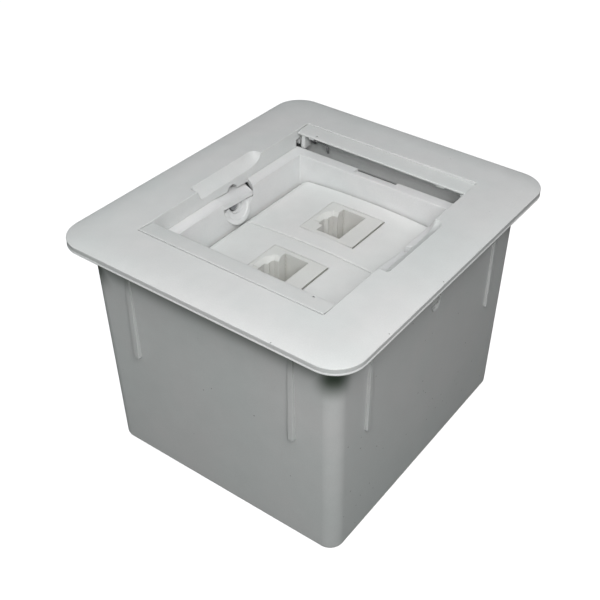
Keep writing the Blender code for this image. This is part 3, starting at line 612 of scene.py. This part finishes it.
def make_bowl():
    ob = add_object("box_bowl", loft(bowl_rings()))
    # U-shaped cuts, open at the top of both side walls; points are (y, z)
    radius, bottom = 2.0, 49.8
    arc = [(radius * math.cos(a), bottom + radius + radius * math.sin(a))
           for a in (-math.pi * i / 24 for i in range(25))]
    outline = [(radius, BOX_TOP_Z + 1)] + arc + [(-radius, BOX_TOP_Z + 1)]
    side_cuts = group(extrude(outline, "x", 32.0, 37.0), extrude(outline, "x", -37.0, -32.0))
    catch = ((38.05, 58.2), (38.05, 57.0), (39.6, 57.0), (39.6, 59.2))
    catches = group(*[extrude([(side * y, z) for y, z in catch], "x", x - 2.5, x + 2.5)
                      for side in SIDES for x in HOOK_XS])
    low, high = mm_box("cable_grommet")
    entry = peg(6.0, 6, (0, 36.0, (low[2] + high[2]) / 2), (0, 1, 0), 64)
    combine(ob, (ADD, outer_ribs()), (ADD, catches), (CUT, side_cuts), (CUT, entry))
    tidy(ob, bevel=0.12, bevel_angle=30)
    install(ob, BOWL_ABS, "box", "box_body")


# ---------------------------------------------------------------- module tray
# clamp screw boss and the dish sunk into it: (distance along the screw axis, radius)
CLAMP_BOSS = [(0.8, 5.2), (3.0, 4.6), (5.0, 4.0)]
CLAMP_DISH = [(-4.0, 7.4), (-0.3, 5.85), (0.25, 5.45), (0.62, 4.9), (0.66, 4.2), (1.05, 3.9),
              (1.18, 3.1), (1.22, 2.45), (1.9, 2.2), (2.1, 1.75), (4.0, 1.7)]


def tray_rings():
    """Up the inside, over the ledge and down the outside."""
    top_x, top_y = TRAY_X + 0.08, TRAY_Y + TRAY_DRAFT
    out_x, out_y = TRAY_X + TRAY_WALL, TRAY_Y + TRAY_WALL
    under = LEDGE_Z - LEDGE_T
    # (half x, half y, corner radius, z, centre y)
    rows = ((TRAY_X, TRAY_Y, 0.35, TRAY_Z, TRAY_CENTRE_Y),
            (top_x, top_y, 0.35, LEDGE_Z - 0.45, TRAY_CENTRE_Y),
            (top_x + 0.09, top_y + 0.09, 0.44, LEDGE_Z - 0.13, TRAY_CENTRE_Y),
            (top_x + 0.42, top_y + 0.42, 0.75, LEDGE_Z, TRAY_CENTRE_Y),
            (LEDGE_X - 0.3, LEDGE_Y - 0.25, 0.8, LEDGE_Z, 0.0),
            (LEDGE_X - 0.08, LEDGE_Y - 0.07, 0.95, LEDGE_Z - 0.07, 0.0),
            (LEDGE_X, LEDGE_Y, 1.0, LEDGE_Z - 0.25, 0.0),
            (LEDGE_X, LEDGE_Y, 1.0, under, 0.0),
            (out_x, out_y + 0.2, 1.9, under, TRAY_CENTRE_Y),
            (out_x, out_y, 1.9, TRAY_Z, TRAY_CENTRE_Y))
    return [rounded_ring(*row, seg=8) for row in rows]


def spring_finger(side):
    """Sloping tongue hung from the front end of the ledge cut-out."""
    z = LEDGE_Z - 0.06
    # (y, z) at the outer and the inner edge
    outer = ((-6.9, z - 0.02), (6.4, z - 1.37), (6.4, z - 2.2), (-6.9, z - 1.3))
    inner = ((-6.9, z), (4.1, z - 1.15), (4.1, z - 2.35), (-6.9, z - 1.55))
    return loft([[(side * x, *p) for p in edge] for x, edge in ((27.9, outer), (22.55, inner))])


def make_tray():
    ob = add_object("module_tray_shell", loft(tray_rings(), loop=True))
    rails = group(*[block((side * 21.4, side * (TRAY_X + 0.4)),
                          (TRAY_CENTRE_Y - TRAY_Y - 0.4, TRAY_CENTRE_Y + TRAY_Y + 0.4),
                          (TRAY_Z + 0.1, 49.0)) for side in SIDES])
    ears = group(*[block((math.copysign(28.6, x), math.copysign(32.3, x)), (y - 2.5, y + 2.5),
                         (LEDGE_Z - LEDGE_T + 0.05, LEDGE_Z - 0.3)) for x, y in EARS])
    ear_holes = group(*[peg(1.35, 4, (x, y, 57.5), (0, 0, 1), 32) for x, y in EARS])

    def on_clamps(profile, seg):
        return group(*[turned(profile, position / MM, axis, seg) for position, axis in CLAMPS])

    notch = ((28.4, -6.1), (20.0, -6.1), (20.0, 2.9), (28.4, 7.9))  # (x, y)
    notches = group(*[extrude([(side * x, y) for x, y in notch], "z", 57.1, 70.0)
                      for side in SIDES])
    fingers = group(*[spring_finger(side) for side in SIDES])
    relief = group(*[block((-6.2, 6.2), ys, (LEDGE_Z - 0.8, LEDGE_Z + 1))
                     for ys in ((26.2, 30.0), (-30.6, -27.7))])
    gates = corner_blocks((26.3, 28.4), (27.3, 29.9), (LEDGE_Z - LEDGE_T - 1, LEDGE_Z + 1))
    combine(ob, (ADD, rails), (ADD, ears), (ADD, on_clamps(CLAMP_BOSS, 48)), (CUT, notches),
            (CUT, on_clamps(CLAMP_DISH, 72)), (ADD, fingers),
            (CUT, on_clamps([(3.5, 1.1), (6.0, 1.1)], 32)), (CUT, ear_holes), (CUT, relief),
            (CUT, gates))
    tidy(ob, bevel=0.10, bevel_angle=36)
    install(ob, TRAY_ABS, "box", "module_tray")


# ---------------------------------------------------------------- flaps and springs
FLAP_TOP = TOP_Z - 62.4  # above the hinge
FLAP_X, FLAP_Y0, FLAP_Y1 = 25.97, -3.4, 1.58
FLAP_SLOPE = 0.5  # drop of the underside towards FLAP_Y0
NOTCH = {"front": (-20.5, 0.27), "rear": (-20.2, 0.33)}  # x and radius of the small hole


def flap_profile():
    """(y, z) in flap space."""
    low = FLAP_TOP - FLAP_SLOPE
    roll = 0.18
    points = [(FLAP_Y0 + 0.03, low - 0.5), (-1.6, FLAP_TOP - 1.2),
              (FLAP_Y1 - 0.35, FLAP_TOP - 1.2), (FLAP_Y1 - 0.15, FLAP_TOP - 1.05),
              (FLAP_Y1, FLAP_TOP - 0.17)]
    for i in range(1, 6):
        a = math.pi / 2 * i / 5
        points.append((FLAP_Y1 - roll + roll * math.cos(a),
                       FLAP_TOP - 0.17 + 0.17 * math.sin(a)))
    return points + [(FLAP_Y0 + 0.9, low + 0.12), (FLAP_Y0 + 0.18, low - 0.01),
                     (FLAP_Y0 + 0.04, low - 0.09), (FLAP_Y0, low - 0.22)]


def make_flap(end):
    ob = add_object(f"cable_flap_{end}", extrude(flap_profile(), "x", -FLAP_X, FLAP_X))
    leg = [(-2.65, FLAP_TOP - 0.75), (-2.65, -2.3), (0.2, -2.3), (1.25, 0.2),
           (1.25, FLAP_TOP - 1.15)]
    legs = group(*[extrude(leg, "x", side * 24.0, side * 25.2) for side in SIDES])
    stubs = group(*[turned([(0, 0.9), (2.2, 0.9), (2.35, 0.75)], (side * 24.5, 0, 0),
                           (side, 0, 0)) for side in (1, -1)])
    spigot = turned([(0, 0.62), (2.9, 0.62), (3.0, 0.55)], (-24.4, 0, 0), (1, 0, 0), 32)
    nubs = group(*[block(xs, (-2.95, -1.6), (FLAP_TOP - 1.7, FLAP_TOP - 0.9))
                   for xs in ((-22.6, -19.6), (17.1, 19.4))])
    x, radius = NOTCH[end]
    notch = turned([(0, 1.1), (0.9, 0.75), (1.4, radius), (2.4, radius)],
                   (x, FLAP_Y0 + 0.85, FLAP_TOP - FLAP_SLOPE - 1.4), (0, 0, 1), 24)
    combine(ob, (ADD, legs), (ADD, stubs), (ADD, spigot), (ADD, nubs), (CUT, notch))
    ob.matrix_world = flap_matrix(end)
    tidy(ob, bevel=0.08, bevel_angle=36)
    install(ob, FLAP_ABS, f"flap_{end}", f"flap_{end}")


COIL_R, COIL_PITCH, COIL_X = 0.95, 0.57, -23.7
COIL_TURNS, COIL_STEPS = 3, 28  # steps are per turn
# long arm: (x from the end of the coil, y, z)
LONG_ARM = ((0.3, -0.95, 0.60), (0.8, -1.2, 0.66), (1.5, -1.4, 0.62), (2.4, -1.5, 0.56),
            (3.6, -1.55, 0.48), (4.4, -1.58, 0.32), (4.75, -1.6, 0.0), (4.82, -1.6, -0.5),
            (4.88, -1.62, -1.2), (5.15, -1.65, -1.8))
# short arm: (x from the start of the coil, y, z)
SHORT_ARM = ((-0.02, 0.1, 1.02), (0, -0.35, 0.93), (0, -0.75, 0.98), (0, -1.1, 1.18),
             (0, -1.38, 1.44))


def make_spring(end):
    """The coil and its long arm stay with the box; the short arm goes with the flap."""
    coil = []
    for i in range(COIL_TURNS * COIL_STEPS - 2):
        a = math.radians(110) - 2 * math.pi * i / COIL_STEPS
        coil.append((COIL_X + COIL_PITCH * i / COIL_STEPS,
                     COIL_R * math.cos(a), COIL_R * math.sin(a)))
    long_arm = [(coil[-1][0] + x, y, z) for x, y, z in LONG_ARM]
    short_arm = [(COIL_X + x, y, z) for x, y, z in SHORT_ARM]
    for part, points, radius, body in (("coil", coil + long_arm, 0.27, "box"),
                                       ("arm", short_arm, 0.22, f"flap_{end}")):
        ob = add_object(f"spring_{part}_{end}", wire(points, radius), flap_matrix(end))
        ob.data.shade_smooth()
        install(ob, SPRING_STEEL, body, f"flap_spring_{end}")


# ---------------------------------------------------------------- plates and jacks
CROWN_R, CROWN_END_R = 220.0, 4.2
PLATE_SHOULDER, PLATE_WALL, PLATE_END_WALL = 4.1, 1.4, 1.2


def crown(x, inset=0.0):
    """Height of the plate's top at x: a shallow arc that ends in tight round shoulders."""
    shoulder = PLATE_X + 0.1 - CROWN_END_R
    if abs(x) <= shoulder:
        return CROWN_Z - CROWN_R + math.sqrt((CROWN_R - inset) ** 2 - x * x)
    base = CROWN_Z - CROWN_R + math.sqrt(CROWN_R ** 2 - shoulder ** 2) - CROWN_END_R
    rise = (CROWN_END_R - inset) ** 2 - (abs(x) - shoulder) ** 2
    return base + math.sqrt(max(0.04, rise))


def make_plate(end):
    (_, y0, z0), (half_x, y1, _) = PLATE[end]
    shoulder = half_x - PLATE_SHOULDER
    corner = [half_x - PLATE_SHOULDER * (1 - math.cos(math.pi / 2 * i / 14)) for i in range(14)]
    stops = corner + [shoulder - 2 * shoulder * i / 24 for i in range(25)]
    stops += [-x for x in reversed(corner)]

    def section(inset, foot_x, foot_z):
        """(x, z) across the plate, shrunk by inset."""
        k = (half_x - inset) / half_x
        top = [(x * k, crown(x * k, inset)) for x in stops]
        return [(foot_x, foot_z)] + top + [(-foot_x, foot_z)]

    # rolled ends: (distance in from the end, inset)
    roll = ((-0.02, 0.32), (0.03, 0.17), (0.14, 0.05), (0.30, 0.0))
    stations = [(y0 + into, inset) for into, inset in roll]
    stations += [(y1 - into, inset) for into, inset in reversed(roll)]
    rings = [[(x, y, z) for x, z in reversed(section(inset, half_x - inset, z0))]
             for y, inset in stations]
    ob = add_object(f"module_face_{end}", loft(rings))
    inner = section(PLATE_WALL, half_x * ((half_x - PLATE_WALL) / half_x), z0 - 1)
    hollow = extrude(inner, "y", y0 + PLATE_END_WALL, y1 - PLATE_END_WALL)
    (_, jack_y0, _), (_, jack_y1, _) = JACK[end]
    centre = (jack_y0 + jack_y1) / 2
    aperture = block((JACK_X0 - 0.10, JACK_X1 + 0.47),
                     (centre - JACK_Y - 0.10, centre + JACK_Y + 0.10), (48, 58))
    combine(ob, (CUT, hollow), (CUT, aperture))
    tidy(ob)
    install(ob, PLATE_ABS, "box", f"module_plate_{end}")


PORT_X0, PORT_X1, PORT_Y, PORT_Z = -3.3, 3.65, 5.95, 41.0
# stepped latch side of the port: (x from PORT_X0, y from the jack's centre)
LATCH = ((0, PORT_Y), (0, 3.3), (-1.3, 3.3), (-1.75, 1.9), (-1.45, 1.3), (-2.4, 0.6),
         (-2.4, -1.9), (-1.3, -1.9), (-1.3, -3.3), (0, -3.3), (0, -PORT_Y))
# slanted relief round the latch steps, in the same columns
RELIEF_RIM = ((-3.2, -2.6), (0.3, -2.6), (0.3, 4.1), (-1.6, 4.0), (-3.2, 1.7))
RELIEF_SOLE = ((-2.42, -2.6), (0.3, -2.6), (0.3, 3.32), (-1.32, 3.32), (-2.42, 0.65))


def make_jack(end):
    (_, y0, z0), (_, y1, z1) = JACK[end]
    centre = (y0 + y1) / 2

    def span(half):
        return centre - half, centre + half

    def relief_ring(outline, z):
        return [(PORT_X0 + x, centre + y, z) for x, y in outline]

    ob = add_object(f"jack_body_{end}", block((JACK_X0, JACK_X1), span(JACK_Y), (z0, z1)))
    shoulders = group(block((JACK_X0 - 1.3, JACK_X0 + 0.4), span(5), (47.6, 51.7)),
                      block((JACK_X1 - 0.4, JACK_X1 + 1.2), span(4), (47.6, 49.4)))
    outline = [(PORT_X1, y) for y in span(PORT_Y)]
    outline += [(PORT_X0 + x, centre + y) for x, y in LATCH]
    port = extrude(outline, "z", PORT_Z, z1 + 2)
    relief = loft([relief_ring(RELIEF_SOLE, z1 - 1.1), relief_ring(RELIEF_RIM, z1),
                   relief_ring(RELIEF_RIM, z1 + 1)])
    slot = block((1.6, 3.5), span(4.8), (z0 - 2.0, PORT_Z + 1))
    combine(ob, (ADD, shoulders), (CUT, port), (CUT, relief), (CUT, slot))
    tidy(ob, bevel=0.045, bevel_angle=30)
    install(ob, JACK_ABS, "box", f"jack_housing_{end}")


make_frame()
make_bowl()
make_tray()
for end in ENDS:
    make_flap(end)
    make_spring(end)
    make_plate(end)
    make_jack(end)

# ---------------------------------------------------------------- CAD nodes that stay
# name prefix: (material, slot, bevel width)
KEEP = {"jack_contacts": (GOLD, "contact_gold", 0.05),
        "jack_board": (BOARD_GREEN, "board_green", 0.08),
        "jack_wiring_block": (BLOCK_WHITE, "block_white", 0.12),
        "jack_wire_cap": (CAP_GREY, "cap_clear_grey", 0.25),
        "clamp_jaw": (JAW_NYLON, "jaw_nylon", 0.12),
        "clamp_screw": (ZINC, "zinc_steel", 0.05),
        "tray_screw": (ZINC, "zinc_steel", 0.06),
        "cable_grommet": (RUBBER, "grommet_rubber", 0.25)}


def dress(ob, material, slot, width):
    """Real finish and rolled edges on a CAD piece."""
    if not ob.data.materials:
        ob.data.materials.append(material)
    for material_slot in ob.material_slots:
        material_slot.material = material
    ob.modifiers.new("weld", "WELD").merge_threshold = 2e-6
    roll_edges(ob, width, 40)
    ob.modifiers.new("weighted", "WEIGHTED_NORMAL").keep_sharp = False


for name, ob in frame["nodes"].items():
    for prefix, look in KEEP.items():
        if name.startswith(prefix):
            dress(ob, *look)


# ---------------------------------------------------------------- floor and world
def split_by_camera(tree, lighting, seen, output):
    """The camera sees one shader, every other ray meets the other."""
    mix = tree.nodes.new("ShaderNodeMixShader")
    rays = tree.nodes.new("ShaderNodeLightPath")
    tree.links.new(rays.outputs["Is Camera Ray"], mix.inputs[0])
    tree.links.new(lighting, mix.inputs[1])
    tree.links.new(seen, mix.inputs[2])
    tree.links.new(mix.outputs[0], tree.nodes[output].inputs["Surface"])


def make_floor():
    half = 3000
    corners = [(-half, -half, 0), (half, -half, 0), (half, half, 0), (-half, half, 0)]
    floor = add_object("floor", (corners, [(0, 1, 2, 3)]))
    floor.location.z = -0.00005
    shader = Shader("floor_pale")
    colour = shader.mix(shader.noise(scale=6.0), (0.90, 0.90, 0.90), (0.88, 0.885, 0.885))
    material = shader.finish({"Base Color": colour, "Roughness": 0.9,
                              "Specular IOR Level": 0.0, "Emission Color": (1, 1, 1),
                              "Emission Strength": 0.72})
    dim = shader.add("ShaderNodeBsdfDiffuse", {"Color": (0.20, 0.205, 0.20)})[0]
    split_by_camera(shader.tree, dim, shader.surface.outputs[0], "Material Output")
    floor.data.materials.append(material)


def make_world():
    world = bpy.data.worlds.new("studio")
    bpy.context.scene.world = world
    world.use_nodes = True
    tree = world.node_tree
    lighting = tree.nodes["Background"]
    seen = tree.nodes.new("ShaderNodeBackground")
    for node, colour, strength in ((lighting, (0.955, 0.98, 1.0, 1), 0.125),
                                   (seen, (0.93, 0.935, 0.935, 1), 1.0)):
        node.inputs["Color"].default_value = colour
        node.inputs["Strength"].default_value = strength
    split_by_camera(tree, lighting.outputs[0], seen.outputs[0], "World Output")


make_floor()
make_world()


# ---------------------------------------------------------------- lights and camera
def area(name, place, target, size, power, colour):
    """Square light; place, target and size in metres, power in watts."""
    light = bpy.data.lights.new(name, "AREA")
    light.shape = "SQUARE"
    light.size = size
    light.energy = power
    light.color = colour
    ob = bpy.data.objects.new(name, light)
    bpy.context.scene.collection.objects.link(ob)
    ob.location = place
    ob.visible_camera = False
    aim = Vector(target) - Vector(place)
    ob.rotation_euler = aim.to_track_quat("-Z", "Y").to_euler()
    return ob


area("key", place=(0.142, -0.165, 0.26), target=(0, 0, 0.05), size=0.17, power=0.64,
     colour=(1.0, 0.99, 0.98))
area("overhead", place=(0.0, -0.04, 0.60), target=(0, 0, 0.06), size=0.40, power=0.62,
     colour=(0.985, 0.99, 1.0))
area("fill_left", place=(-0.40, -0.45, 0.12), target=(0, 0, 0.03), size=0.20, power=0.22,
     colour=(0.98, 1.0, 0.99))
fill_back = area("fill_back", place=(-0.30, 0.42, 0.045), target=(0, 0, 0.03), size=0.08,
                 power=0.55, colour=(0.98, 0.99, 1.0))
fill_back.visible_glossy = False


def make_camera():
    camera = bpy.data.cameras.new("camera")
    ob = bpy.data.objects.new("camera", camera)
    bpy.context.scene.collection.objects.link(ob)
    azimuth, elevation, roll = (math.radians(a) for a in (33.72, 37.86, 1.81))
    back = Vector((math.sin(azimuth) * math.cos(elevation),
                   -math.cos(azimuth) * math.cos(elevation), math.sin(elevation)))
    right = Vector((math.cos(azimuth), math.sin(azimuth), 0))
    up = back.cross(right)
    matrix = Matrix((right * math.cos(roll) + up * math.sin(roll),
                     -right * math.sin(roll) + up * math.cos(roll),
                     back)).transposed().to_4x4()
    matrix.translation = Vector((115.16, -160.38, TOP_Z + 124.0)) * MM
    ob.matrix_world = matrix
    camera.sensor_width = 36.0
    camera.lens = 58.13
    camera.shift_x = -0.06632
    camera.shift_y = 0.00522
    camera.clip_start = 0.005
    camera.clip_end = 20.0
    bpy.context.scene.camera = ob


make_camera()
bpy.context.scene.view_settings.view_transform = "Standard"
bpy.context.scene.view_settings.look = "None"

bpy.context.view_layer.update()
